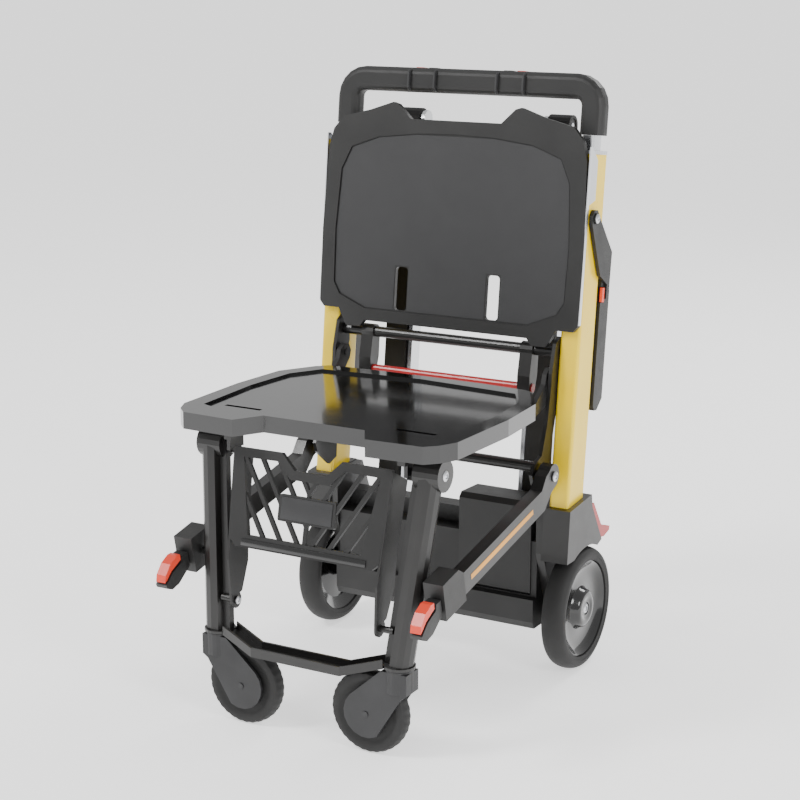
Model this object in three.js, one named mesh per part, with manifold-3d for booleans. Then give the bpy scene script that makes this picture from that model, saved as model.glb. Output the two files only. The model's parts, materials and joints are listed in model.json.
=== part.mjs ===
// A folding stair chair for ambulance crews: two leaning uprights on a wheeled base, a folding seat
// with front legs and swivel casters, a fold-down footrest, lift handles and stowed stair tracks.
// Millimetres. +X is the chair's left-to-right, -Y its front, +Z up, the floor is at Z = 0.
import * as THREE from 'three';
import { mergeVertices } from 'three/addons/utils/BufferGeometryUtils.js';
import Module from 'manifold-3d';

const wasm = await Module();
wasm.setup();

// ---- Driving dimensions ----------------------------------------------------------------------
const axleToCentre = 198.9;      // rear axle behind the middle of the chair's length
const backSlope = 0.113;         // how far the uprights lean back for each unit of height
const backLean = Math.atan(backSlope);
const uprightFootY = -88;        // where the uprights' front plane would meet the floor
const uprightX = 220;            // uprights' centre plane, each side
const uprightWidth = 34;
const uprightDepth = 60;
const uprightBottom = 262;       // heights in the leaning frame run along the uprights
const uprightTop = 847;
const fit = 0.3;                 // gap between pieces that meet
const handleDepth = 32.5;        // handle's centre behind the uprights' front plane
const handleX = 222;
const handleBarHeight = 951;
const handleBend = 30;
const handleFoot = 876.5;
const wheelRadius = 101.5;
const wheelX = 230;
const tyreHalfWidth = 20;
const axleRadius = 10;
const casterRadius = 63.5;
const casterTrail = 48;
const casterX = 157.7;
const casterY = -458.8;
const casterTop = 139;
const legTopX = 186.2;
const legBottomHeight = 145.2;
const legTopHeight = 444;
const legSpread = (legTopX - casterX) / (legTopHeight - 145.5);
const legRake = 40.9 / (legTopHeight - 145.5);
const seatTop = 481;
const seatThickness = 26;
const seatPivot = { y: -36, z: 491.4 };
const legPivot = { y: -415, z: 424 };
const armPivot = { y: -96.7, z: 347.6 };
const armToLegPivot = { y: -440, z: 255 };
const armSlope = THREE.MathUtils.degToRad(12);
const armMiddle = { y: -229, z: 296.5 };
const bracketX = 196.7;          // inner face of the hinge plates that stand beside the uprights
const bracketThickness = 6;
const footrestPivot = { y: -462, z: 195 };
const footrestFoot = { y: -469, z: 296 };
const footrestLean = Math.atan(28.5 / 132.7);
const releaseShaft = { y: -20, z: 529 };
const releaseBar = { y: -30, z: 468 };
const trackX = 138;
const trackDepth = 97;
const trackLow = 175;
const trackHigh = 890;
const rollerRadius = 12;
const beltThickness = 5;
const trackHingeRadius = 8;

// ---- Finishes --------------------------------------------------------------------------------
const finish = (color, roughness, metalness) => new THREE.MeshStandardMaterial({ color, roughness, metalness });
const yellowPaint = finish(0xffd200, 0.35, 0.1);
const blackPaint = finish(0x1c1b1a, 0.4, 0.3);
const blackPlastic = finish(0x232221, 0.5, 0.0);
const glossPlastic = finish(0x101010, 0.15, 0.0);
const greyPlastic = finish(0x3f3f40, 0.55, 0.0);
const silver = finish(0xb9bcc0, 0.3, 0.9);
const redPlastic = finish(0xe8432e, 0.4, 0.0);
const redPaint = finish(0xa51e22, 0.4, 0.1);
const tyreRubber = finish(0x2b2b2a, 0.8, 0.0);

// ---- Shapes and solids -----------------------------------------------------------------------
const sides = [{ label: 'left', sign: -1 }, { label: 'right', sign: 1 }];

function outline(points) {
  return new THREE.Shape(points.map(([a, b]) => new THREE.Vector2(a, b)));
}

// A closed outline from its right-hand half, which starts and ends on the middle line.
function mirroredOutline(half) {
  const left = half.slice(1, -1).reverse().map(([a, b]) => [-a, b]);
  return outline([...half, ...left]);
}

function roundedRectangle(width, depth, radius, centreA = 0, centreB = 0) {
  const shape = new THREE.Shape();
  const a = width / 2 - radius;
  const b = depth / 2 - radius;
  shape.absarc(centreA + a, centreB + b, radius, 0, Math.PI / 2);
  shape.absarc(centreA - a, centreB + b, radius, Math.PI / 2, Math.PI);
  shape.absarc(centreA - a, centreB - b, radius, Math.PI, 1.5 * Math.PI);
  shape.absarc(centreA + a, centreB - b, radius, 1.5 * Math.PI, 2 * Math.PI);
  return shape;
}

function rectangle(a0, a1, b0, b1) {
  return outline([[a0, b0], [a1, b0], [a1, b1], [a0, b1]]);
}

function arc(centreA, centreB, radius, fromDegrees, toDegrees, steps) {
  return Array.from({ length: steps + 1 }, (_, i) => {
    const angle = THREE.MathUtils.degToRad(fromDegrees + ((toDegrees - fromDegrees) * i) / steps);
    return [centreA + radius * Math.cos(angle), centreB + radius * Math.sin(angle)];
  });
}

// Merges, drops slivers and turns the faces outwards, then hands the shape to the boolean library.
function solid(geometry) {
  const bare = geometry.clone();
  bare.deleteAttribute('normal');
  bare.deleteAttribute('uv');
  const merged = mergeVertices(bare, 1e-4);
  const corner = merged.getAttribute('position');
  const point = (i) => new THREE.Vector3().fromBufferAttribute(corner, i);
  const triangles = [];
  let volume = 0;
  for (let i = 0; i < merged.index.count; i += 3) {
    const [a, b, c] = [merged.index.getX(i), merged.index.getX(i + 1), merged.index.getX(i + 2)];
    if (a === b || b === c || c === a) continue;
    triangles.push(a, b, c);
    volume += point(a).dot(point(b).cross(point(c)));
  }
  if (volume < 0) triangles.reverse();
  return new wasm.Manifold(new wasm.Mesh({
    numProp: 3,
    vertProperties: new Float32Array(corner.array),
    triVerts: new Uint32Array(triangles),
  }));
}

function extrude(shape, depth, curveSegments) {
  return new THREE.ExtrudeGeometry(shape, { depth, bevelEnabled: false, curveSegments });
}

// prismX takes an outline in (y, z), prismY one in (x, z) and prismZ one in (x, y).
function prismX(shape, from, to, curveSegments = 3) {
  const start = Math.min(from, to);
  const geometry = extrude(shape, Math.abs(to - from), curveSegments);
  const turn = new THREE.Matrix4().makeBasis(
    new THREE.Vector3(0, 1, 0), new THREE.Vector3(0, 0, 1), new THREE.Vector3(1, 0, 0));
  return geometry.applyMatrix4(turn).translate(start, 0, 0);
}

function prismY(shape, from, to, curveSegments = 3) {
  const geometry = extrude(shape, to - from, curveSegments);
  const turn = new THREE.Matrix4().makeBasis(
    new THREE.Vector3(1, 0, 0), new THREE.Vector3(0, 0, 1), new THREE.Vector3(0, -1, 0));
  return geometry.applyMatrix4(turn).translate(0, to, 0);
}

function prismZ(shape, from, to, curveSegments = 2) {
  return extrude(shape, to - from, curveSegments).translate(0, 0, from);
}

function rodX(radius, from, to, y, z, segments = 16) {
  const geometry = new THREE.CylinderGeometry(radius, radius, Math.abs(to - from), segments);
  return geometry.rotateZ(Math.PI / 2).translate((from + to) / 2, y, z);
}

function rodZ(radius, x, y, from, to, segments = 16) {
  const geometry = new THREE.CylinderGeometry(radius, radius, to - from, segments);
  return geometry.rotateX(Math.PI / 2).translate(x, y, (from + to) / 2);
}

// Turns a profile of [radius, distance along the axle] about the X axis.
function latheX(profile, segments) {
  const geometry = new THREE.LatheGeometry(profile.map(([r, a]) => new THREE.Vector2(r, a)), segments);
  return geometry.rotateZ(-Math.PI / 2);
}

function latheY(profile, segments) {
  return new THREE.LatheGeometry(profile.map(([r, a]) => new THREE.Vector2(r, a)), segments);
}

// A route through given points, so a bent bar has its corners exactly there.
class Route extends THREE.Curve {
  constructor(points) {
    super();
    this.points = points;
  }

  getPoint(t) {
    const place = Math.min(Math.max(t, 0), 1) * (this.points.length - 1);
    const index = Math.min(Math.floor(place), this.points.length - 2);
    return this.points[index].clone().lerp(this.points[index + 1], place - index);
  }

  getPointAt(t) {
    return this.getPoint(t);
  }

  getTangentAt(t) {
    return this.getTangent(t);
  }
}

function bentBar(points, section, curveSegments = 2) {
  return new THREE.ExtrudeGeometry(section, {
    steps: points.length - 1,
    extrudePath: new Route(points),
    bevelEnabled: false,
    curveSegments,
  });
}

function joined(...geometries) {
  return geometries.map((g) => (g instanceof THREE.BufferGeometry ? solid(g) : g)).reduce((a, b) => a.add(b));
}

function cut(base, ...tools) {
  const first = base instanceof THREE.BufferGeometry ? solid(base) : base;
  return tools.reduce((a, b) => a.subtract(b instanceof THREE.BufferGeometry ? solid(b) : b), first);
}

function place(group, name, shape, material) {
  const body = shape instanceof THREE.BufferGeometry ? solid(shape) : shape;
  const { vertProperties, triVerts } = body.getMesh();
  const geometry = new THREE.BufferGeometry();
  geometry.setAttribute('position', new THREE.BufferAttribute(new Float32Array(vertProperties), 3));
  geometry.setIndex(new THREE.BufferAttribute(new Uint32Array(triVerts), 1));
  geometry.computeVertexNormals();
  const mesh = new THREE.Mesh(geometry, material);
  mesh.name = name;
  group.add(mesh);
}

// ---- The two frames of reference -------------------------------------------------------------
const chair = new THREE.Group();
chair.position.y = axleToCentre;

// In the leaning frame Y runs back from the uprights' front plane and Z runs up along them.
const leaning = new THREE.Group();
leaning.position.y = uprightFootY;
leaning.rotation.x = -backLean;
leaning.updateMatrix();
chair.add(leaning);

// ---- Back frame ------------------------------------------------------------------------------
function uprights() {
  const middle = uprightDepth / 2;
  for (const { label, sign } of sides) {
    const x = sign * uprightX;
    const tube = prismZ(roundedRectangle(uprightWidth, uprightDepth, 5, x, middle), uprightBottom, uprightTop);
    const bore = prismZ(roundedRectangle(27, 52, 4, x, middle), 560, uprightTop + 5);
    place(leaning, `upright_${label}`, cut(tube, bore), yellowPaint);

    const cap = prismZ(roundedRectangle(35.6, 62, 6, x, middle), uprightTop + fit, uprightTop + 6);
    const tubeHole = prismZ(roundedRectangle(22, 34, 5, x, handleDepth), uprightTop - 5, uprightTop + 20);
    place(leaning, `upright_collar_${label}`, cut(cap, tubeHole), silver);
  }
}

function baseBoxes() {
  const arch = arc(0, wheelRadius, wheelRadius + 4.5, 115.8, 64.7, 8);
  const outer = [[-74, 197], ...arch, [62, 203], [21, 270], [18, 291], [-66, 283]];
  const axleEnd = arc(0, wheelRadius, 27, 195, 345, 6);
  const web = [[-66, 205], ...axleEnd, [34, 200], [40, 240], [18, 290], [-66, 283]];
  for (const { label, sign } of sides) {
    const box = prismX(outline(outer), sign * 199, sign * 246);
    const plate = prismX(outline(web), sign * 186.6, sign * 200);
    const x = sign * uprightX;
    const socket = prismZ(
      roundedRectangle(uprightWidth + 2 * fit, uprightDepth + 2 * fit, 5, x, uprightDepth / 2),
      uprightBottom - fit, uprightBottom + 80);
    socket.applyMatrix4(leaning.matrix);
    const axleHole = rodX(axleRadius + fit, sign * 180, sign * 210, 0, wheelRadius);
    place(chair, `base_box_${label}`, cut(joined(box, plate), socket, axleHole), blackPaint);
  }
}

function driveHousing() {
  const body = prismX(outline([[-60, 84], [-48, 76], [8, 76], [8, 250], [-25, 250], [-25, 222], [-60, 222]]), -186, 186);
  const motorHousing = prismX(outline([[0, 90], [48, 90], [58, 102], [58, 190], [44, 214], [0, 214]]), -84, 84);
  const skirt = prismX(outline([[-72, 88], [-66, 76], [-40, 76], [-40, 130], [-72, 126]]), -186, 186);
  const hinge = trackHingePlace();
  const lugs = sides.map(({ sign }) => prismX(
    outline([[0, 140], [hinge.y, 140], ...arc(hinge.y, hinge.z, 16, -60, 60, 4), [hinge.y, 190], [0, 190]]),
    sign * 84, sign * 98));
  const bay = prismX(rectangle(-90, 4, 130, 300), 44, 176);
  const axleHole = rodX(axleRadius + fit, -200, 200, 0, wheelRadius);
  const trackHole = rodX(trackHingeRadius + fit, -120, 120, hinge.y, hinge.z);
  place(chair, 'drive_housing', cut(joined(body, motorHousing, skirt, ...lugs), bay, axleHole, trackHole),
    blackPlastic);
}

function backrest() {
  const front = -12;
  const rear = -2;
  const edge = [
    [0, 552], [150, 552], [158, 541], [184, 541], [193, 556], [200, 569], [229, 569], [237, 578], [238.5, 700],
    [234, 835], [226, 866], [208, 887], [158, 899], [116, 913], [106, 910], [82, 887], [0, 887],
  ];
  const recess = [
    [0, 572], [150, 572], [200, 592], [212, 612], [214, 700], [208, 800], [190, 838], [140, 856], [70, 864], [0, 866],
  ];
  const panel = prismY(mirroredOutline(edge), front, rear);
  const dish = prismY(mirroredOutline(recess), front - 5, front + 2.5);
  const slots = sides.map(({ sign }) => prismY(roundedRectangle(23, 72, 6, sign * 84, 610), front - 5, rear + 5));
  place(leaning, 'backrest', cut(panel, dish, ...slots), blackPlastic);
}

function hingeBrackets() {
  const plate = [
    [-22, 555], [-6, 548], [-6, 506], [-20, 478], [-44, 400], [-52, 312], [-74, 304], [-112, 334], [-118, 350],
    [-108, 366], [-84, 374], [-66, 420], [-54, 478], [-52, 500], [-38, 546],
  ];
  for (const { label, sign } of sides) {
    const inner = sign * bracketX;
    const outer = sign * (bracketX + bracketThickness);
    const body = prismX(outline(plate), inner, outer);
    const seatPin = rodX(6, sign * 184, inner + sign * 2, seatPivot.y, seatPivot.z, 12);
    const armPin = rodX(7, outer - sign * 2, sign * 232, armPivot.y, armPivot.z, 12);
    const shaftHole = rodX(9 + fit, sign * 190, sign * 210, releaseShaft.y, releaseShaft.z, 20);
    place(chair, `hinge_bracket_${label}`, cut(joined(body, seatPin, armPin), shaftHole), blackPaint);
  }
}

function backFrame() {
  uprights();
  baseBoxes();
  driveHousing();
  backrest();
  hingeBrackets();
  const halfLength = bracketX - fit;
  place(chair, 'lower_crossbar', rodX(9, -halfLength, halfLength, -30, 338), blackPaint);
  place(chair, 'rear_axle', rodX(axleRadius, -246, 246, 0, wheelRadius, 20), silver);
}

// ---- Telescoping handle ----------------------------------------------------------------------
function handleRoute() {
  const at = (x, z) => new THREE.Vector3(x, handleDepth, z);
  const shoulder = handleBarHeight - handleBend;
  const straight = handleX - handleBend;
  const leftBend = arc(-straight, shoulder, handleBend, 180, 90, 5);
  const rightBend = arc(straight, shoulder, handleBend, 90, 0, 5);
  return [[-handleX, handleFoot], ...leftBend, ...rightBend, [handleX, handleFoot]].map(([x, z]) => at(x, z));
}

function handle() {
  const barHalf = 16;
  const barTop = handleBarHeight + barHalf;
  const grip = bentBar(handleRoute(), roundedRectangle(2 * barHalf, 40, 11));
  const buttons = [
    { name: 'red', x: 92, material: redPlastic },
    { name: 'grey', x: 68, material: greyPlastic },
  ];
  const pockets = [];
  const buttonSize = 15;
  for (const { label, sign } of sides) {
    for (const { name, x, material } of buttons) {
      const centre = [sign * x, handleDepth + 3];
      const reach = buttonSize / 2 + 0.5;
      const pocket = rectangle(centre[0] - reach, centre[0] + reach, centre[1] - reach, centre[1] + reach);
      pockets.push(prismZ(pocket, barTop - 6, barTop + 20));
      const cap = prismZ(roundedRectangle(buttonSize, buttonSize, 2, ...centre), barTop - 3.7, barTop + 4.8, 1);
      place(leaning, `handle_button_${name}_${label}`, cap, material);
    }
    const tube = prismZ(roundedRectangle(21, 33, 5, sign * uprightX, handleDepth), 590, handleFoot - fit);
    place(leaning, `handle_tube_${label}`, tube, silver);
  }
  place(leaning, 'handle_grip', cut(grip, ...pockets), blackPlastic);
}

// ---- Head-end lift handles, hanging behind the uprights ---------------------------------------
function headEndHandles() {
  const arm = [
    [1, 752], [8, 761], [20, 761], [28, 752], [88, 694], [86, 621], [76, 619], [76, 642], [46, 657], [2, 738],
  ];
  const grip = [
    [64, 650], [72, 654], [84, 652], [98, 632], [98, 456], [80, 438], [70, 438], [64, 446],
  ];
  const plateInner = 239;
  for (const { label, sign } of sides) {
    const plate = prismX(outline(arm), sign * plateInner, sign * 244.5);
    const handlebar = prismX(outline(grip), sign * 212, sign * 240);
    const boss = rodX(9, sign * plateInner, sign * 247, 14, 748, 12);
    const pocket = prismX(rectangle(62.5, 73.5, 613, 638), sign * 235.4, sign * 250);
    place(leaning, `head_end_handle_${label}`, cut(joined(plate, handlebar, boss), pocket), blackPlastic);
    const button = prismX(rectangle(65, 73, 614, 637), sign * 237.8, sign * 242.5);
    place(leaning, `head_end_button_${label}`, button, redPlastic);
  }
}

// ---- Stair tracks, stowed behind the uprights --------------------------------------------------
function trackHingePlace() {
  const point = new THREE.Vector3(0, trackDepth, trackLow).applyMatrix4(leaning.matrix);
  return { y: point.y, z: point.z };
}

function stadium(radius, low, high, steps = 6) {
  return [
    ...arc(trackDepth, high, radius, 0, 180, steps),
    ...arc(trackDepth, low, radius, 180, 360, steps),
  ];
}

function tracks() {
  const beltInner = rollerRadius + 0.4;
  for (const { label, sign } of sides) {
    const plate = prismX(outline(stadium(14, trackLow, trackHigh)), sign * 108, sign * 115);
    const bed = prismX(rectangle(trackDepth - 9, trackDepth + 9, 196, 868), sign * 114, sign * 158);
    const lowPin = rodX(5, sign * 112, sign * 157, trackDepth, trackLow, 12);
    const highPin = rodX(5, sign * 112, sign * 157, trackDepth, trackHigh, 12);
    place(leaning, `track_rail_${label}`, joined(plate, bed, lowPin, highPin), silver);

    const beltShape = outline(stadium(beltInner + beltThickness, trackLow, trackHigh, 8));
    beltShape.holes.push(new THREE.Path(stadium(beltInner, trackLow, trackHigh, 8)
      .map(([a, b]) => new THREE.Vector2(a, b))));
    place(leaning, `track_belt_${label}`, prismX(beltShape, sign * 118, sign * 158), tyreRubber);

    for (const [level, height] of [['lower', trackLow], ['upper', trackHigh]]) {
      const drum = rodX(rollerRadius, sign * 119, sign * 156, trackDepth, height, 16);
      const bore = rodX(5.4, sign * 110, sign * 165, trackDepth, height, 12);
      place(leaning, `track_roller_${level}_${label}`, cut(drum, bore), greyPlastic);
    }
  }
  const shaft = rodX(trackHingeRadius, -107.7, 107.7, trackDepth, trackLow);
  place(leaning, 'track_hinge_shaft', shaft, silver);
}

// ---- Seat release ------------------------------------------------------------------------------
function seatRelease() {
  const lever = [
    ...arc(releaseShaft.y, releaseShaft.z, 12.5, -20, 200, 8),
    [-40, 488], ...arc(releaseBar.y, releaseBar.z, 11, 200, 340, 5), [-12, 486],
  ];
  const levers = sides.map(({ sign }) => prismX(outline(lever), sign * 136, sign * 158));
  const shaft = rodX(9, -200, 200, releaseShaft.y, releaseShaft.z, 16);
  const barHole = rodX(7 + fit, -170, 170, releaseBar.y, releaseBar.z, 16);
  place(chair, 'release_shaft', cut(joined(shaft, ...levers), barHole), blackPaint);
  place(chair, 'release_bar', rodX(7, -160, 160, releaseBar.y, releaseBar.z, 16), redPaint);
}

// ---- Seat --------------------------------------------------------------------------------------
function seat() {
  const edge = [
    [0, -436], [87, -436], [113, -480], [204, -476], [222, -458], [235, -430], [240, -280], [232, -172],
    [198, -113], [180, -98], [100, -91], [0, -90],
  ];
  const dishEdge = [
    [0, -420], [80, -420], [108, -456], [150, -440], [206, -420], [214, -280], [206, -180], [176, -128], [0, -112],
  ];
  const underside = seatTop - seatThickness;
  const pan = prismZ(mirroredOutline(edge), underside, seatTop);
  const dish = prismZ(mirroredOutline(dishEdge), seatTop - 4, seatTop + 5);
  const slots = sides.map(({ sign }) => prismZ(rectangle(sign * 150 - 32, sign * 150 + 32, -400, -392),
    underside - 5, seatTop + 5));
  place(chair, 'seat_pan', cut(pan, dish, ...slots), glossPlastic);

  const frameTop = underside - fit;
  const frameBottom = frameTop - 18;
  const ear = [
    [-150, frameBottom], [-100, frameBottom], [-58, 446], [-24, 480], [-20, 492], [-26, 504], [-42, 507],
    [-53, 498], [-58, 483], [-96, frameTop], [-150, frameTop],
  ];
  const lug = [[-433, frameBottom + 4], [-433, 418], ...arc(legPivot.y, legPivot.z, 14, 200, 340, 5),
    [-397, 418], [-397, frameBottom + 4]];
  const pieces = [prismX(rectangle(-134, -104, frameBottom, frameTop), -194, 194)];
  for (const { sign } of sides) {
    pieces.push(prismX(rectangle(-440, -110, frameBottom, frameTop), sign * 143, sign * 156));
    pieces.push(prismX(outline(ear), sign * 186, sign * 194));
    pieces.push(prismX(outline(lug), sign * 150, sign * 156));
    pieces.push(rodX(6, sign * 152, sign * 207, legPivot.y, legPivot.z, 12));
  }
  const pinHoles = sides.map(({ sign }) => rodX(6 + fit, sign * 180, sign * 200, seatPivot.y, seatPivot.z, 12));
  place(chair, 'seat_frame', cut(joined(...pieces), ...pinHoles), blackPaint);
}

// ---- Front legs --------------------------------------------------------------------------------
function legSection(sign) {
  const round = [...arc(4, 0, 18, -90, 90, 6), [-8, 17], [-11, 6], [-22, 6], [-22, -6], [-11, -6], [-8, -17]];
  return outline(round.map(([a, b]) => [sign * a, b]));
}

function legs() {
  for (const { label, sign } of sides) {
    const lean = new THREE.Matrix4().set(
      1, 0, sign * legSpread, sign * (casterX - legSpread * 145.5),
      0, 1, legRake, casterY - legRake * 145.5,
      0, 0, 1, 0,
      0, 0, 0, 1);
    const tube = prismZ(legSection(sign), legBottomHeight, legTopHeight - 14).applyMatrix4(lean);
    const knuckle = rodX(24, sign * 166, sign * 208, legPivot.y, legPivot.z, 20);
    const stemBore = rodZ(8.6, sign * casterX, casterY, legBottomHeight - 10, 168, 12);
    const pivotBore = rodX(6 + fit, sign * 150, sign * 220, legPivot.y, legPivot.z, 12);
    const footrestPin = rodX(5, sign * 122.5, sign * 150, footrestPivot.y, footrestPivot.z, 12);
    const armPin = rodX(6, sign * 176, sign * 199.5, armToLegPivot.y, armToLegPivot.z, 12);
    const body = joined(tube, knuckle, footrestPin, armPin);
    place(chair, `leg_${label}`, cut(body, stemBore, pivotBore), blackPaint);
  }
}

// The stamped channel between the legs, with a ring at each end under the leg.
function legCrossbar() {
  const low = 123;
  const bend = 77;
  const end = 140;
  const middleY = -479;
  const half = 17;
  const channel = outline([
    [middleY - half, low], [middleY + half, low], [middleY + half, low + 14], [middleY + half - 4, low + 14],
    [middleY + half - 4, low + 4], [middleY - half + 4, low + 4], [middleY - half + 4, low + 14],
    [middleY - half, low + 14],
  ]);
  const ringBottom = casterTop + 1.5;
  const ringTop = legBottomHeight - fit;
  const rise = (ringBottom - low) / (end - bend);
  const sweep = 18 / (end - bend);
  const pieces = [prismX(channel, -bend, bend)];
  for (const { sign } of sides) {
    const slant = new THREE.Matrix4().set(
      1, 0, 0, 0,
      sign * sweep, 1, 0, -sweep * bend,
      sign * rise, 0, 1, -rise * bend,
      0, 0, 0, 1);
    pieces.push(prismX(channel, sign * bend, sign * end).applyMatrix4(slant));
    pieces.push(rodZ(24, sign * casterX, casterY, ringBottom, ringTop, 20));
  }
  const headroom = sides.map(({ sign }) => rodZ(26, sign * casterX, casterY, ringTop, ringTop + 40, 20));
  const holes = sides.map(({ sign }) => rodZ(8.6, sign * casterX, casterY, ringBottom - 5, ringTop + 5, 12));
  place(chair, 'leg_crossbar', cut(joined(...pieces), ...headroom, ...holes), blackPaint);
}

// ---- Swivel casters ----------------------------------------------------------------------------
function casters() {
  const axle = { x: casterTrail, z: casterRadius };
  const shoulder = casterTop - 3;
  const profile = [
    [-21, shoulder], [22, shoulder], ...arc(axle.x, axle.z, 37, 45, -120, 8), [-12, 98], [-21, 104],
  ];
  const plateHalf = 18;
  for (const { label, sign } of sides) {
    const caster = new THREE.Group();
    caster.position.set(sign * casterX, casterY, 0);
    caster.rotation.z = sign > 0 ? Math.PI : 0;
    chair.add(caster);
    const blank = prismY(outline(profile), -plateHalf, plateHalf);
    const turret = rodZ(21.5, 0, 0, 104, casterTop, 20);
    const stem = rodZ(8, 0, 0, shoulder, 160, 12);
    const wheelRoom = new THREE.CylinderGeometry(66.5, 66.5, 27, 32).translate(axle.x, 0, axle.z);
    const pin = new THREE.CylinderGeometry(5, 5, 2 * plateHalf + 3, 12).translate(axle.x, 0, axle.z);
    const fork = joined(cut(joined(blank, turret, stem), wheelRoom), pin);
    place(caster, `caster_fork_${label}`, fork, greyPlastic);

    const half = 12;
    const wheelProfile = [
      [5.4, -half], [44, -half + 2], [57, -half], [casterRadius, -4], [casterRadius, 4], [57, half],
      [44, half - 2], [5.4, half], [5.4, -half],
    ];
    const wheel = latheY(wheelProfile, 24).translate(axle.x, 0, axle.z);
    place(caster, `caster_wheel_${label}`, wheel, tyreRubber);
  }
}

// ---- Footrest ----------------------------------------------------------------------------------
function footrest() {
  const rest = new THREE.Group();
  rest.position.set(0, footrestFoot.y, footrestFoot.z);
  rest.rotation.x = -footrestLean;
  rest.updateMatrix();
  chair.add(rest);

  const thickness = 8;
  const panelEdge = [[0, -12], [118, -12], [129, -2], [135, 136], [52, 136.5], [28, 113], [0, 113]];
  const windowEdge = [[0, 7], [98, 7], [118, 122], [58, 123], [34, 99], [0, 99]];
  const panel = cut(
    prismY(mirroredOutline(panelEdge), 0, thickness),
    prismY(mirroredOutline(windowEdge), -5, thickness + 5));

  const slatAngle = THREE.MathUtils.degToRad(58);
  const slatStarts = [-50, -20, 10, 40, 70];
  const slatHalf = 3;
  const pieces = [panel, solid(prismY(roundedRectangle(98, 40, 3, 0, 56.5), 0, thickness - 1))];
  pieces.push(solid(prismY(rectangle(-3, 3, 0, 45), 1, thickness - 1)));
  for (const { sign } of sides) {
    const lapEdge = [[-2, 2], [104, 2], [124, 127], [50, 127], [27, 106], [-2, 106]];
    const lap = solid(prismY(outline(lapEdge.map(([a, b]) => [sign * a, b])), 1, thickness - 1));
    for (const start of slatStarts) {
      const run = 125 / Math.tan(slatAngle);
      const reach = slatHalf / Math.sin(slatAngle);
      const bar = prismY(outline([
        [sign * (start - reach), 2], [sign * (start + reach), 2],
        [sign * (start + reach + run), 127], [sign * (start - reach + run), 127],
      ]), 0, thickness);
      pieces.push(solid(bar).intersect(lap));
    }
  }

  const cheekEdge = [
    [-441, 427], [-397, 404], [-420, 300], [-426, 247], [-446, 205],
    ...arc(footrestPivot.y, footrestPivot.z, 13, 40, -190, 8), [-476, 262], [-470, 290],
  ];
  const spread = 0.039;
  const inverse = rest.matrix.clone().invert();
  for (const { sign } of sides) {
    const flare = new THREE.Matrix4().set(
      1, 0, sign * spread, -sign * spread * footrestPivot.z,
      0, 1, 0, 0,
      0, 0, 1, 0,
      0, 0, 0, 1);
    const cheek = prismX(outline(cheekEdge), sign * 124, sign * 128).applyMatrix4(flare);
    const hole = rodX(5 + fit, sign * 110, sign * 140, footrestPivot.y, footrestPivot.z, 12);
    pieces.push(cut(cheek.applyMatrix4(inverse), hole.applyMatrix4(inverse)));
  }
  place(rest, 'footrest', joined(...pieces), blackPlastic);
}

// ---- Lower arms and foot-end lift handles --------------------------------------------------------
function lowerArms() {
  const arms = new THREE.Group();
  arms.position.set(0, armMiddle.y, armMiddle.z);
  arms.rotation.x = armSlope;
  arms.updateMatrix();
  chair.add(arms);
  const hinge = new THREE.Vector3(0, armPivot.y, armPivot.z).applyMatrix4(arms.matrix.clone().invert());

  const bar = [
    [-225, -18], [100, -18], [128, 0], ...arc(hinge.y, hinge.z, 20, -60, 130, 7), [114, 34], [96, 18], [-225, 18],
  ];
  const handleEnd = [
    [-241, 12], [-255, 12.5], [-257, 4], [-284, -2], [-297, -10], [-303, -14], [-301, -20], [-290, -27],
    [-272, -26], [-241, -12],
  ];
  const buttonEdge = [
    [-258, 7.5], [-258, 16.5], [-266, 18], [-284, 13], [-299, 1], [-303, -9.5], [-297, -7], [-284, 1],
  ];
  for (const { label, sign } of sides) {
    const inner = sign * 210;
    const outer = sign * 230;
    const rodRoom = prismX(rectangle(-260, -60, -9, 9), sign * 213.4, sign * 226.6);
    const pinHole = rodX(7 + fit, sign * 200, sign * 240, hinge.y, hinge.z, 12);
    place(arms, `lower_arm_${label}`, cut(prismX(outline(bar), inner, outer), rodRoom, pinHole), blackPaint);

    const sleeve = prismX(outline([[-238, -24], [-176, -24], [-176, 22], [-190, 34], [-238, 34]]),
      sign * 201, sign * 233.5);
    const armRoom = prismX(rectangle(-225 - fit, -170, -18 - fit, 18 + fit), inner - sign * fit, outer + sign * fit);
    place(arms, `arm_bracket_${label}`, cut(sleeve, armRoom, rodRoom), blackPlastic);

    const rod = prismX(rectangle(-245, -75, -8, 8), sign * 214, sign * 226);
    const end = prismX(outline(handleEnd), sign * 209.5, sign * 229.5);
    place(arms, `lift_handle_${label}`, joined(rod, end), blackPlastic);
    const button = prismX(outline(buttonEdge), sign * 211, sign * 228);
    place(arms, `lift_button_${label}`, button, redPlastic);
  }
}

// ---- Rear wheels, pedals and battery -------------------------------------------------------------
function rearWheels() {
  const rimRadius = 80;
  const half = tyreHalfWidth;
  const tyreProfile = [
    [rimRadius, -half + 2], [90, -half], [98, -half + 6], [wheelRadius, -half + 13], [wheelRadius, half - 13],
    [98, half - 6], [90, half], [rimRadius, half - 2], [rimRadius, -half + 2],
  ];
  const bore = axleRadius + 0.4;
  const discProfile = [
    [bore, -14], [32, -10], [60, -5], [rimRadius - fit, -14], [rimRadius - fit, 16], [62, 5], [34, 5], [28, 19],
    [bore, 20], [bore, -14],
  ];
  for (const { label, sign } of sides) {
    const turned = (profile) => latheX(profile, 28).scale(sign, 1, 1).translate(sign * wheelX, 0, wheelRadius);
    place(chair, `rear_tyre_${label}`, turned(tyreProfile), tyreRubber);
    place(chair, `rear_wheel_${label}`, turned(discProfile), glossPlastic);
  }
}

function pedals() {
  const edge = [[23.5, 271], [34, 272], [66, 226], [101, 215], [99, 208], [78, 203], [67, 204.5]];
  for (const { label, sign } of sides) {
    place(chair, `brake_pedal_${label}`, prismX(outline(edge), sign * 222, sign * 243), redPaint);
  }
}

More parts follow.
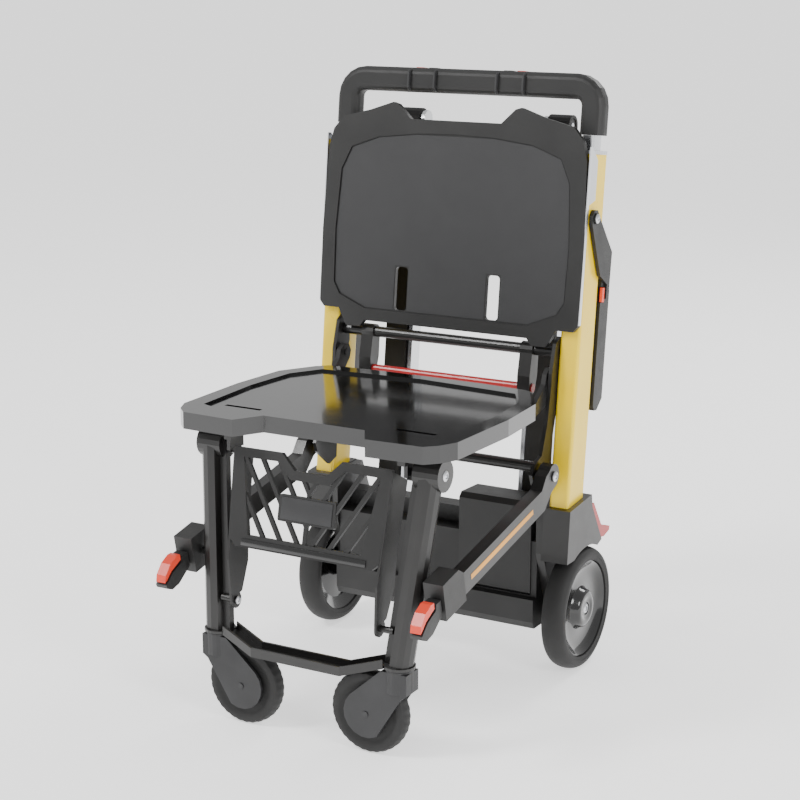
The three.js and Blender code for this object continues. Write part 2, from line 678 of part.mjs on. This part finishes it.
function battery() {
  const edge = outline([[-62, 134], [-58, 130.5], [3.5, 130.5], [3.5, 284], [-54, 286], [-62, 278]]);
  place(chair, 'battery', prismX(edge, 44.6, 175.4), blackPlastic);
}

backFrame();
handle();
headEndHandles();
tracks();
seatRelease();
seat();
legs();
legCrossbar();
casters();
footrest();
lowerArms();
rearWheels();
pedals();
battery();

export default chair;
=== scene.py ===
import json
import math

import bmesh
import bpy
from mathutils import Matrix, Vector


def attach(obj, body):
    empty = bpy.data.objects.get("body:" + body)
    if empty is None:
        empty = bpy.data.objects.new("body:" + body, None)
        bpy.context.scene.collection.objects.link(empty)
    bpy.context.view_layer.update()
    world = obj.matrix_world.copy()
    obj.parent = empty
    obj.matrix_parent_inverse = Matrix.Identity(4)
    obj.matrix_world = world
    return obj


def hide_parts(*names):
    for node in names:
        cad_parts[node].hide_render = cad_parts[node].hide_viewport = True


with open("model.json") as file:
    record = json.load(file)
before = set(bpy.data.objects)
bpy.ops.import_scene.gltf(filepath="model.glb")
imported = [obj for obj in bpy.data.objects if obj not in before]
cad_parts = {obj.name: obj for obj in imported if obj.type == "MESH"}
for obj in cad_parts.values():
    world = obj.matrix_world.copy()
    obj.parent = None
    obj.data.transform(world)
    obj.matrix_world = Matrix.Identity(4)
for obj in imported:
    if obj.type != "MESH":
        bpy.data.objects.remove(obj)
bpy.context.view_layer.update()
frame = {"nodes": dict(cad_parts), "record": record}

# ---- Frames of reference, in metres ------------------------------------------------------------
AXLE_Y = 0.1989                 # rear axle behind the middle of the chair
LEAN = math.atan(0.113)         # how far the uprights lean back
FOOT_Y = AXLE_Y - 0.088         # where the uprights' front plane would meet the floor
ARM_SLOPE = math.radians(12)
WHEEL_X = 0.230
WHEEL_RADIUS = 0.1015
CASTER_X = 0.1577 - 0.048
CASTER_Y = AXLE_Y - 0.4588
CASTER_RADIUS = 0.0635
SIDES = (("left", -1), ("right", 1))

LEANING = Matrix.Translation((0, FOOT_Y, 0)) @ Matrix.Rotation(-LEAN, 4, "X")
ARMS = Matrix.Translation((0, AXLE_Y - 0.229, 0.2965)) @ Matrix.Rotation(ARM_SLOPE, 4, "X")
FOOTREST = (Matrix.Translation((0, AXLE_Y - 0.469, 0.296))
            @ Matrix.Rotation(-math.atan(28.5 / 132.7), 4, "X"))
UPRIGHT = Matrix.Identity(4)


# ---- Materials ---------------------------------------------------------------------------------
def material(name, colour, roughness, metallic=0.0, grain=900.0, bump=0.08, coat=0.0,
             stretch=(1.0, 1.0, 1.0), spread=0.25, roughness_spread=0.08):
    """Cloudy colour, uneven roughness, a fine surface grain and lighter worn edges."""
    made = bpy.data.materials.new(name)
    made.use_nodes = True
    nodes = made.node_tree.nodes
    link = made.node_tree.links.new
    shader = nodes["Principled BSDF"]
    shader.inputs["Metallic"].default_value = metallic
    shader.inputs["Coat Weight"].default_value = coat
    shader.inputs["Coat Roughness"].default_value = 0.08

    place = nodes.new("ShaderNodeTexCoord")
    scale = nodes.new("ShaderNodeMapping")
    scale.inputs["Scale"].default_value = stretch
    link(place.outputs["Object"], scale.inputs["Vector"])

    def noise(size, detail):
        node = nodes.new("ShaderNodeTexNoise")
        node.inputs["Scale"].default_value = size
        node.inputs["Detail"].default_value = detail
        link(scale.outputs["Vector"], node.inputs["Vector"])
        return node

    clouds = noise(14.0, 4.0)
    ramp = nodes.new("ShaderNodeValToRGB")
    ramp.color_ramp.elements[0].position = 0.3
    ramp.color_ramp.elements[1].position = 0.7
    ramp.color_ramp.elements[0].color = [c * (1 - spread) for c in colour] + [1]
    ramp.color_ramp.elements[1].color = [min(1, c * (1 + spread)) for c in colour] + [1]
    link(clouds.outputs["Fac"], ramp.inputs["Fac"])

    worn = nodes.new("ShaderNodeMix")
    worn.data_type = "RGBA"
    edge = nodes.new("ShaderNodeNewGeometry")
    amount = nodes.new("ShaderNodeMapRange")
    amount.inputs["From Min"].default_value = 0.53
    amount.inputs["From Max"].default_value = 0.66
    amount.inputs["To Max"].default_value = 0.45
    link(edge.outputs["Pointiness"], amount.inputs["Value"])
    link(amount.outputs["Result"], worn.inputs["Factor"])
    link(ramp.outputs["Color"], worn.inputs["A"])
    worn.inputs["B"].default_value = (*(min(1, c * 1.6 + 0.008) for c in colour), 1)
    link(worn.outputs["Result"], shader.inputs["Base Color"])

    uneven = nodes.new("ShaderNodeMapRange")
    uneven.inputs["To Min"].default_value = max(0.03, roughness - roughness_spread)
    uneven.inputs["To Max"].default_value = roughness + roughness_spread
    link(noise(38.0, 6.0).outputs["Fac"], uneven.inputs["Value"])
    link(uneven.outputs["Result"], shader.inputs["Roughness"])

    relief = nodes.new("ShaderNodeBump")
    relief.inputs["Strength"].default_value = bump
    relief.inputs["Distance"].default_value = 0.0006
    link(noise(grain, 3.0).outputs["Fac"], relief.inputs["Height"])
    link(relief.outputs["Normal"], shader.inputs["Normal"])
    return made


FINISHES = {
    "yellow_paint": material("yellow_paint", (1.0, 0.60, 0.0), 0.30, grain=420, bump=0.10, coat=0.3,
                             spread=0.05),
    "black_paint": material("black_paint", (0.009, 0.0085, 0.008), 0.36, grain=500, bump=0.14, coat=0.15),
    "black_plastic": material("black_plastic", (0.010, 0.0098, 0.0095), 0.47, grain=1300, bump=0.35),
    "gloss_black_plastic": material("gloss_black_plastic", (0.005, 0.005, 0.005), 0.15, grain=260,
                                    bump=0.05, coat=0.5, roughness_spread=0.05),
    "dark_grey_plastic": material("dark_grey_plastic", (0.020, 0.020, 0.021), 0.5, grain=1100, bump=0.3),
    "silver_metal": material("silver_metal", (0.60, 0.61, 0.63), 0.28, 1.0, grain=500, bump=0.10,
                             stretch=(1, 1, 0.12), spread=0.10),
    "red_plastic": material("red_plastic", (0.72, 0.045, 0.018), 0.3, grain=900, bump=0.1, spread=0.1),
    "red_paint": material("red_paint", (0.36, 0.012, 0.012), 0.35, grain=500, bump=0.12, coat=0.2,
                          spread=0.15),
    "tyre_rubber": material("tyre_rubber", (0.011, 0.0107, 0.0105), 0.66, grain=1000, bump=0.5),
}
AMBER = material("amber_stripe", (0.62, 0.27, 0.02), 0.4, grain=700, bump=0.1)
PANEL_GREY = material("panel_texture", (0.020, 0.020, 0.021), 0.52, grain=1700, bump=0.7, spread=0.06)


# ---- Modifiers for the pieces carried over from the CAD ------------------------------------------
def smoothing_group(angle):
    """Smooth faces, with edges sharper than the angle kept crisp."""
    group = bpy.data.node_groups.new("smooth_by_angle_own", "GeometryNodeTree")
    group.interface.new_socket("Geometry", in_out="INPUT", socket_type="NodeSocketGeometry")
    group.interface.new_socket("Geometry", in_out="OUTPUT", socket_type="NodeSocketGeometry")
    nodes = group.nodes
    source, result = nodes.new("NodeGroupInput"), nodes.new("NodeGroupOutput")
    faces, edges = nodes.new("GeometryNodeSetShadeSmooth"), nodes.new("GeometryNodeSetShadeSmooth")
    faces.domain = "FACE"
    edges.domain = "EDGE"
    turn, less = nodes.new("GeometryNodeInputMeshEdgeAngle"), nodes.new("FunctionNodeCompare")
    less.operation = "LESS_EQUAL"
    less.inputs[1].default_value = angle
    link = group.links.new
    link(source.outputs[0], faces.inputs[0])
    link(faces.outputs[0], edges.inputs[0])
    link(turn.outputs["Unsigned Angle"], less.inputs[0])
    link(less.outputs[0], edges.inputs["Shade Smooth"])
    link(edges.outputs[0], result.inputs[0])
    return group


CREASE = math.radians(34)        # edges that turn more than this stay crisp
SMOOTH = smoothing_group(CREASE)


def soften(obj, width, segments=2):
    if width:
        bevel = obj.modifiers.new("soft_edges", "BEVEL")
        bevel.width = width
        bevel.segments = segments
        bevel.limit_method = "ANGLE"
        bevel.angle_limit = CREASE
    smooth = obj.modifiers.new("smooth", "NODES")
    smooth.node_group = SMOOTH


EDGE_WIDTHS = {"seat_pan": 0.0030, "backrest": 0.0015, "battery": 0.0035, "drive_housing": 0.0020,
               "base_box": 0.0025, "footrest": 0.0010, "head_end_handle": 0.0015,
               "lift_handle": 0.0020, "lift_button": 0.0015, "arm_bracket": 0.0018}


def dress_cad_nodes():
    for row in frame["record"]["subparts"]:
        name = row["node"]
        obj = frame["nodes"][name]
        finish = FINISHES[row["material_slot"]]
        if obj.material_slots:
            for place in obj.material_slots:
                place.material = finish
        else:
            obj.data.materials.append(finish)
        width = next((w for key, w in EDGE_WIDTHS.items() if name.startswith(key)), 0.0010)
        soften(obj, width)


# ---- Building new pieces -------------------------------------------------------------------------
def piece(name, mesh_maker, body, slot, finish=None, matrix=UPRIGHT, edge=0.0):
    mesh = bpy.data.meshes.new(name)
    build = bmesh.new()
    mesh_maker(build)
    bmesh.ops.recalc_face_normals(build, faces=build.faces)
    build.transform(matrix)
    build.to_mesh(mesh)
    build.free()
    obj = bpy.data.objects.new(name, mesh)
    bpy.context.scene.collection.objects.link(obj)
    mesh.materials.append(finish or FINISHES[slot])
    soften(obj, edge)
    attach(obj, body)
    return obj


def turned(profile, segments, axis, centre, ribs=0, rib_depth=0.0):
    """A closed profile of [radius, distance along the axle] turned about an axle through centre."""
    def make(build):
        rings = []
        outermost = max(r for r, _ in profile)
        for i in range(segments):
            angle = 2 * math.pi * i / segments
            ring = []
            for radius, along in profile:
                if ribs and radius > outermost - 0.004 and (i * ribs // segments) % 2:
                    radius -= rib_depth
                a, b = radius * math.cos(angle), radius * math.sin(angle)
                offset = Vector((along, a, b)) if axis == "X" else Vector((a, along, b))
                ring.append(build.verts.new(Vector(centre) + offset))
            rings.append(ring)
        count = len(profile)
        for i in range(segments):
            here, after = rings[i], rings[(i + 1) % segments]
            for k in range(count):
                n = (k + 1) % count
                build.faces.new((here[k], here[n], after[n], after[k]))
    return make


def plate(points, x0, x1):
    """An outline in (y, z) given thickness along X."""
    def make(build):
        low = [build.verts.new((x0, a, b)) for a, b in points]
        high = [build.verts.new((x1, a, b)) for a, b in points]
        build.faces.new(low)
        build.faces.new(high[::-1])
        for i in range(len(points)):
            n = (i + 1) % len(points)
            build.faces.new((low[i], low[n], high[n], high[i]))
    return make


def block(x, y, z):
    return plate([(y[0], z[0]), (y[1], z[0]), (y[1], z[1]), (y[0], z[1])], *x)


def bolt(name, body, centre, outward, radius, height, matrix=UPRIGHT):
    """A domed screw with a hexagon socket, standing outwards along X."""
    def make(build):
        count = 24
        socket_radius = 0.46
        levels = ((1.0, 0.0), (1.0, 0.5), (0.8, 0.9), (0.5, 1.0), (socket_radius, 0.4), (0.02, 0.38))
        rings = []
        for r, h in levels:
            ring = []
            for i in range(count):
                angle = 2 * math.pi * i / count
                hexagon = r == socket_radius
                reach = r / math.cos((angle % (math.pi / 3)) - math.pi / 6) * 0.87 if hexagon else r
                ring.append(build.verts.new((centre[0] + outward * h * height,
                                             centre[1] + radius * reach * math.cos(angle),
                                             centre[2] + radius * reach * math.sin(angle))))
            rings.append(ring)
        for low, high in zip(rings, rings[1:]):
            for i in range(count):
                n = (i + 1) % count
                build.faces.new((low[i], low[n], high[n], high[i]))
        build.faces.new(rings[-1])
        build.faces.new(rings[0][::-1])
    piece(name, make, body, "silver_metal", matrix=matrix)


def rear_wheels():
    def round_tyre():
        profile = []
        for i in range(25):
            angle = math.radians(-100 + 200 * i / 24)
            radius = 0.0870 + 0.0145 * max(0.0, math.cos(angle)) ** 0.7
            profile.append((radius, 0.0198 * math.sin(angle)))
        return [(0.080, -0.018)] + profile + [(0.080, 0.018)]

    disc = [(0.0104, -0.014), (0.032, -0.010), (0.060, -0.005), (0.0795, -0.014), (0.0795, 0.0155),
            (0.0775, 0.016), (0.0755, 0.0145), (0.071, 0.0100), (0.064, 0.0064), (0.056, 0.0050),
            (0.044, 0.0050), (0.036, 0.0058), (0.033, 0.0095), (0.0305, 0.0160), (0.028, 0.0188),
            (0.025, 0.0198), (0.018, 0.0198), (0.016, 0.0185), (0.0104, 0.0185)]
    for label, sign in SIDES:
        centre = (sign * WHEEL_X, AXLE_Y, WHEEL_RADIUS)
        tyre_profile = [(r, sign * a) for r, a in round_tyre()]
        disc_profile = [(r, sign * a) for r, a in disc]
        body = f"rear_wheel_{label}"
        tyre = piece(f"tyre_round_{label}", turned(tyre_profile, 96, "X", centre), body,
                     "tyre_rubber")
        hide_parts(f"rear_tyre_{label}")
        wheel = piece(f"wheel_dish_{label}", turned(disc_profile, 96, "X", centre), body,
                      "gloss_black_plastic")
        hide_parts(f"rear_wheel_{label}")
        bolt(f"hub_bolt_{label}", "back_frame", (sign * 0.2455, AXLE_Y, WHEEL_RADIUS), sign, 0.0085, 0.0035)


def caster_wheels():
    half = [(0.0054, 0.0120), (0.012, 0.0120), (0.014, 0.0100), (0.040, 0.0085), (0.046, 0.0100),
            (0.050, 0.0118), (0.055, 0.0120), (0.0600, 0.0108), (0.0625, 0.0075), (0.0635, 0.0030)]
    profile = half + [(r, -a) for r, a in reversed(half)]
    for label, sign in SIDES:
        centre = (sign * CASTER_X, CASTER_Y, CASTER_RADIUS)
        wheel = piece(f"caster_tread_{label}", turned(profile, 128, "Y", centre, 64, 0.0007),
                      f"caster_wheel_{label}", "tyre_rubber")
        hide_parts(f"caster_wheel_{label}")


def back_details():
    for label, sign in SIDES:
        # Side flange of the backrest, turned back beside the upright.
        flange = [(-0.011, 0.580), (-0.0026, 0.580), (-0.0026, 0.768), (0.020, 0.776), (0.020, 0.838),
                  (-0.0026, 0.858), (-0.011, 0.858)]
        piece(f"backrest_flange_{label}", plate(flange, sign * 0.2372, sign * 0.2386), "back_frame",
              "silver_metal", matrix=LEANING)
        bolt(f"lift_pivot_screw_{label}", f"head_end_handle_{label}", (sign * 0.2465, 0.014, 0.748), sign,
             0.0075, 0.0030, LEANING)
        bolt(f"arm_pivot_screw_{label}", "back_frame",
             (sign * 0.2315, AXLE_Y - 0.0967, 0.3476), sign, 0.0085, 0.0035)
        # Control pod under each pair of buttons.
        pod = [(0.0105, 0.938), (0.016, 0.933), (0.049, 0.933), (0.0545, 0.938), (0.0545, 0.963),
               (0.049, 0.9680), (0.016, 0.9680), (0.0105, 0.963)]
        for end in (0.0545, 0.1020):
            piece(f"pod_band_{label}_{round(end * 1e4)}", plate(pod, sign * end, sign * (end + 0.0035)),
                  "handle", "dark_grey_plastic", matrix=LEANING, edge=0.0006)

    # Textured panel laid in the recess of the backrest, open where the two strap slots are.
    half = [(0.149, 0.574), (0.198, 0.594), (0.210, 0.613), (0.212, 0.700), (0.206, 0.799),
            (0.189, 0.836), (0.140, 0.854), (0.070, 0.862)]
    shape = half + [(-a, b) for a, b in reversed(half)]

    def inlay(build):
        front = [build.verts.new((a, -0.0100, b)) for a, b in shape]
        rear = [build.verts.new((a, -0.0094, b)) for a, b in shape]
        build.faces.new(front)
        build.faces.new(rear[::-1])
        for i in range(len(shape)):
            n = (i + 1) % len(shape)
            build.faces.new((front[i], front[n], rear[n], rear[i]))
        slots = [sign * 0.084 for _, sign in SIDES]
        slot_half, slot_top = 0.013, 0.648
        for x in slots:
            for at in (x - slot_half, x + slot_half):
                bmesh.ops.bisect_plane(build, geom=build.verts[:] + build.edges[:] + build.faces[:],
                                       plane_co=(at, 0, 0), plane_no=(1, 0, 0))
        bmesh.ops.bisect_plane(build, geom=build.verts[:] + build.edges[:] + build.faces[:],
                               plane_co=(0, 0, slot_top), plane_no=(0, 0, 1))
        covered = [f for f in build.faces
                   if f.calc_center_median().z < slot_top
                   and any(abs(f.calc_center_median().x - x) < slot_half for x in slots)]
        bmesh.ops.delete(build, geom=covered, context="FACES")
    piece("backrest_inlay", inlay, "back_frame", "dark_grey_plastic", PANEL_GREY, LEANING)


def front_details():
    for label, sign in SIDES:
        bolt(f"footrest_pivot_screw_{label}", "leg_frame",
             (sign * 0.1215, AXLE_Y - 0.462, 0.195), -sign, 0.0065, 0.0020)
        bolt(f"leg_pivot_screw_{label}", "seat",
             (sign * 0.2070, AXLE_Y - 0.415, 0.424), sign, 0.0080, 0.0030)
        # Plain amber band along the outside of each lower arm.
        piece(f"arm_stripe_{label}", block((sign * 0.2300, sign * 0.2304), (-0.150, 0.060), (-0.004, 0.004)),
              "lower_arms", "yellow_paint", AMBER, ARMS)
    # Blank badge plate and a bright lower lip on the footrest.
    piece("footrest_badge", block((-0.044, 0.044), (-0.0012, 0.0006), (0.040, 0.073)), "footrest",
          "dark_grey_plastic", matrix=FOOTREST, edge=0.0005)
    piece("footrest_lip", block((-0.108, 0.108), (-0.0016, 0.0004), (-0.0095, 0.0010)), "footrest",
          "gloss_black_plastic", matrix=FOOTREST, edge=0.0007)


# ---- Floor, lights and camera --------------------------------------------------------------------
def area_light(name, place, aim, size, power, colour=(1, 1, 1)):
    light = bpy.data.lights.new(name, "AREA")
    light.shape = "DISK"
    light.size = size
    light.energy = power
    light.color = colour
    obj = bpy.data.objects.new(name, light)
    bpy.context.scene.collection.objects.link(obj)
    obj.location = place
    obj.rotation_euler = (Vector(aim) - Vector(place)).to_track_quat("-Z", "Y").to_euler()


def studio():
    floor_mesh = bpy.data.meshes.new("floor")
    build = bmesh.new()
    bmesh.ops.create_grid(build, x_segments=8, y_segments=8, size=120)
    build.to_mesh(floor_mesh)
    build.free()
    floor = bpy.data.objects.new("floor", floor_mesh)
    bpy.context.scene.collection.objects.link(floor)
    paper = material("floor_paper", (0.93, 0.93, 0.93), 0.75, grain=300, bump=0.02, spread=0.01)
    shader = paper.node_tree.nodes["Principled BSDF"]
    shader.inputs["Emission Color"].default_value = (1, 1, 1, 1)
    shader.inputs["Emission Strength"].default_value = 0.9
    floor.data.materials.append(paper)

    world = bpy.data.worlds.new("studio")
    world.use_nodes = True
    world.node_tree.nodes["Background"].inputs["Color"].default_value = (1, 1, 1, 1)
    world.node_tree.nodes["Background"].inputs["Strength"].default_value = 0.75
    bpy.context.scene.world = world
    area_light("key", (-2.2, -2.6, 3.6), (0, 0, 0.4), 1.2, 110)
    area_light("fill", (3.4, -1.4, 2.0), (0, 0, 0.4), 1.4, 70)
    area_light("rim", (0.6, 3.2, 3.0), (0, 0, 0.5), 1.6, 60)

    camera = bpy.data.objects.new("camera", bpy.data.cameras.new("camera"))
    bpy.context.scene.collection.objects.link(camera)
    camera.data.sensor_width = 36
    camera.data.lens = 84.65
    camera.location = (1.4203, -2.4843, 1.1609)
    camera.rotation_euler = (math.radians(90 - 13.670), 0, math.radians(29.569))
    bpy.context.scene.camera = camera


dress_cad_nodes()
rear_wheels()
caster_wheels()
back_details()
front_details()
studio()
